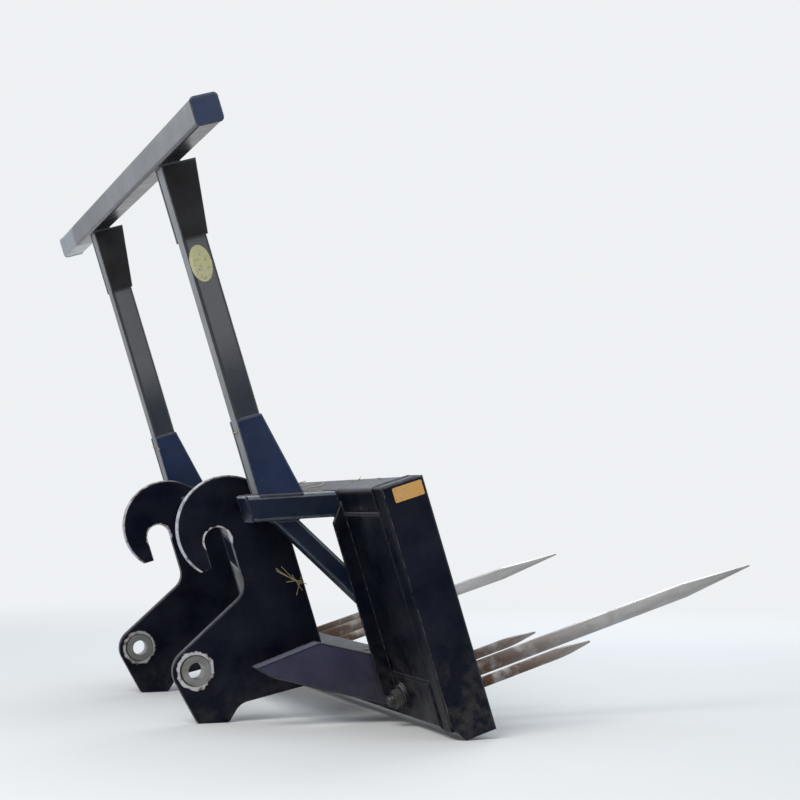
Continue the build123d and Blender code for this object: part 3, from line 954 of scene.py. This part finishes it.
def stalk(bm, rest, off, heading, length):
    """One straw stalk: it lies on a surface at a point, bent a little and lifting at one end."""
    along = heading.normalized()
    beside = off.cross(along)
    bend = straw_chance.uniform(-0.18, 0.18)
    lift = straw_chance.uniform(0.0, 0.10)
    radius = straw_chance.uniform(1.5, 2.4)
    places, radii = [], []
    for step in range(STALK_STEPS + 1):
        share = step / STALK_STEPS
        aside = beside * (bend * length * (share - 0.5) ** 2)
        raised = off * (radius + lift * length * max(0.0, share - 0.4) ** 2)
        places.append(Vector(rest) + along * ((share - 0.5) * length) + aside + raised)
        radii.append(radius * (1.0 - 0.3 * share))
    tube(bm, places, radii, STALK_SIDES, flat=0.7)


def scatter_straw():
    """Stalks left by the bales: on what faces up, over front edges, and in corners behind."""
    bm = bmesh.new()
    lower_cross_top = LOWER_CROSS[1] + CROSS_SIZE / 2
    for count, (x_low, x_high), (y_low, y_high), height, off in (
        (9, (225, 310), (-1000, 1000), lambda x: FACE_HEIGHT, UP),
        (8, (225, 310), (-1000, 1000), lambda x: LOWER_RAIL, UP),
        (3, (-35, 15), (-420, 420), arm_top, OFF_ARM),
        (4, (-40, 0), (-420, 420), lambda x: lower_cross_top, UP),
        (2, (110, 180), (-655, -585), arm_top, OFF_ARM),
        (2, (110, 180), (585, 655), arm_top, OFF_ARM),
    ):
        for _ in range(count):
            x = straw_chance.uniform(x_low, x_high)
            y = straw_chance.uniform(y_low, y_high)
            turn = straw_chance.uniform(0, tau)
            heading = ACROSS * (1 if cos(turn) > 0 else -1) + off.cross(ACROSS) * 0.55 * sin(turn)
            stalk(bm, (x, y, height(x)), off, heading, straw_chance.uniform(45, 190))

    # Hanging on the front of the face
    for y, z, length in (
        (-930, 690, 70), (310, 695, 60), (890, 80, 90), (-420, 75, 110), (60, 80, 80)
    ):
        heading = ACROSS * straw_chance.uniform(-0.7, 0.7) - UP
        stalk(bm, (FACE_FRONT, y, z), FORWARD, heading, length)

    # A tuft on the near hook plate's front edge
    for x, z, run, rise, length in (
        (26, 505, 67, -74, 100), (52, 470, 40, 66, 70), (34, 498, 67, -58, 110),
        (48, 478, -20, 66, 64), (44, 486, 80, -20, 58), (30, 512, 50, -90, 74),
    ):
        stalk(bm, (x, -HOOK_FACES[1], z), -ACROSS, Vector((run, 0, rise)), length)

    # At the posts' feet
    for y in (590, 645, -610):
        heading = ACROSS + UP * straw_chance.uniform(-0.6, 0.6)
        stalk(bm, (-POST_HALF, y, 1000), -FORWARD, heading, 60)
    add_piece("straw_stalks", bm, "dusty_paint", straw())


weld_rack()
weld_arms()
weld_hooks()
weld_face()
cut_threads()
turn_nuts()
stick_on_post()
stick_on_end()
scatter_straw()


# Stage, in metres

BACKDROP = (0.86, 0.88, 0.90)
FLOOR_TONE = (0.68, 0.68, 0.67)
FLOOR_RADIUS = 60.0
FLOOR_FADE = (2.0, 6.5)
SKY_LOW = (0.10, 0.11, 0.13)
SKY_HIGH = (0.66, 0.73, 0.82)
SCREEN = (1.30, 1.29, 1.27)
LAMP_TARGET = Vector((0, 0, 0.8))


def make_floor():
    """A wide pale floor that fades into the background's own tone far from the set."""
    mesh = bpy.data.meshes.new("floor")
    bm = bmesh.new()
    bmesh.ops.create_circle(bm, cap_ends=True, segments=96, radius=FLOOR_RADIUS)
    bm.to_mesh(mesh)
    bm.free()
    floor = bpy.data.objects.new("floor", mesh)
    bpy.context.scene.collection.objects.link(floor)
    floor.location.z = FLOOR_Z - 0.001

    material = bpy.data.materials.new("floor_pale")
    material.use_nodes = True
    nodes = Nodes(material.node_tree)
    matt = nodes.add(
        "ShaderNodeBsdfPrincipled", Base_Color=rgba(FLOOR_TONE), Roughness=0.9,
        Specular_IOR_Level=0.05,
    )
    glow = nodes.add("ShaderNodeEmission", Color=rgba(BACKDROP), Strength=1.0)
    place = nodes.add("ShaderNodeNewGeometry").outputs["Position"]
    fade = nodes.ramp(nodes.vector_math("LENGTH", place), *FLOOR_FADE)
    shown = nodes.product(fade, nodes.backdrop_rays())
    surface = nodes.blend(shown, matt.outputs["BSDF"], glow.outputs["Emission"])
    nodes.add("ShaderNodeOutputMaterial", Surface=surface)
    mesh.materials.append(material)


def make_world():
    """Soft studio surroundings: pale when seen, bright overhead and ahead, dim behind."""
    world = bpy.data.worlds.new("studio")
    world.use_nodes = True
    nodes = Nodes(world.node_tree)
    direction = nodes.add("ShaderNodeTexCoord").outputs["Generated"]
    up, ahead = nodes.part(direction, "Z"), nodes.part(direction, "Y")
    sky = nodes.mix(nodes.ramp(up, 0.05, 0.85), SKY_LOW, SKY_HIGH)
    screen = nodes.product(nodes.ramp(ahead, 0.25, 0.98), nodes.ramp(up, 0.75, 0.15))
    tone = nodes.mix(screen, sky, SCREEN)
    light = nodes.add("ShaderNodeBackground", Color=tone, Strength=1.0)
    backdrop = nodes.add("ShaderNodeBackground", Color=rgba(BACKDROP), Strength=1.0)
    shades = (light.outputs["Background"], backdrop.outputs["Background"])
    nodes.add("ShaderNodeOutputWorld", Surface=nodes.blend(nodes.backdrop_rays(), *shades))
    bpy.context.scene.world = world


def make_lamp(name, place, size, power, colour):
    """A square soft box aimed at the set."""
    lamp = bpy.data.lights.new(name, "AREA")
    lamp.shape = "SQUARE"
    lamp.size = size
    lamp.energy = power
    lamp.color = colour
    holder = bpy.data.objects.new(name, lamp)
    bpy.context.scene.collection.objects.link(holder)
    holder.location = place
    holder.rotation_euler = (LAMP_TARGET - Vector(place)).to_track_quat("-Z", "Y").to_euler()


# The photograph's viewpoint, solved from the set's own straight edges
EYE = Vector((-1.952, -5.462, 0.662))
PHOTO_YAW = radians(21.95)
PHOTO_PITCH = radians(1.53)
PHOTO_FOCAL = 620.0
IMAGE_SIZE = 800
SENSOR = 36.0
SET_CENTRE_IN_PHOTO = (379, 374)
CLOSER = 2.6


def make_camera():
    """Stands where the photographer stood, turned to the set, with a longer lens."""
    forward = Vector((sin(PHOTO_YAW), cos(PHOTO_YAW), tan(PHOTO_PITCH))).normalized()
    right = Vector((cos(PHOTO_YAW), -sin(PHOTO_YAW), 0))
    up = right.cross(forward)
    across, down = ((place - IMAGE_SIZE / 2) / PHOTO_FOCAL for place in SET_CENTRE_IN_PHOTO)
    aim = forward + right * across - up * down
    data = bpy.data.cameras.new("camera")
    data.sensor_width = SENSOR
    data.lens = SENSOR * PHOTO_FOCAL / IMAGE_SIZE * CLOSER
    data.clip_end = 300
    camera = bpy.data.objects.new("camera", data)
    bpy.context.scene.collection.objects.link(camera)
    camera.location = EYE
    camera.rotation_euler = aim.to_track_quat("-Z", "Y").to_euler()
    bpy.context.scene.camera = camera


make_floor()
make_world()
make_lamp("key", (-3.5, -3.0, 5.0), 3.5, 260, (1.0, 0.98, 0.95))
make_lamp("back", (3.5, 4.0, 4.5), 4.0, 210, (0.90, 0.95, 1.0))
make_camera()
bpy.context.scene.view_settings.view_transform = "Standard"
